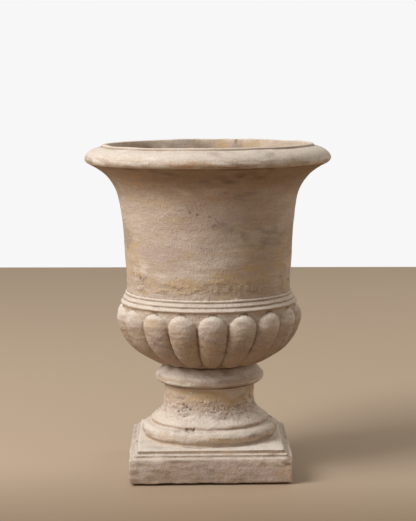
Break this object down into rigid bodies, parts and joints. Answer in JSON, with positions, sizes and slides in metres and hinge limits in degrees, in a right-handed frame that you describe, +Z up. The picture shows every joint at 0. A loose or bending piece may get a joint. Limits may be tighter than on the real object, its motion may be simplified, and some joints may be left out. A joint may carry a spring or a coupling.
{
  "type": "urn planter",
  "caption": "Footed garden urn with a flared rim, a gadrooned lower bowl, a collar, a moulded foot and a stepped square plinth; holds plants and drains through its foot.",
  "frame": {"origin": "on the floor under the middle of the plinth", "axes": "+Z up along the urn's axis; -Y faces the pictured side, square to the plinth"},
  "size_m": [0.3644, 0.3642, 0.488],
  "materials": {
    "bowl_casting": "lime-washed weathered terracotta, matt",
    "collar_casting": "lime-washed weathered terracotta, matt",
    "foot_casting": "lime-washed weathered terracotta, matt",
    "plinth_casting": "lime-washed weathered terracotta, matt",
    "mortar": "rough, dirty joint mortar",
    "brass_fittings": "dull, tarnished",
    "steel_fittings": "zinc-plated, dull",
    "rubber": "matt black"
  },
  "bodies": {
    "root": {"bowl": "bowl_casting", "collar_ring": "collar_casting", "foot": "foot_casting", "plinth": "plinth_casting", "mortar_bed_bowl": "mortar", "mortar_bed_collar": "mortar", "mortar_bed_plinth": "mortar", "drain_tube": "brass_fittings", "drain_gasket": "rubber", "drain_flange_nut": "brass_fittings", "clamp_washer": "steel_fittings", "clamp_nut": "steel_fittings", "foot_pads": "rubber"}
  },
  "joints": []
}
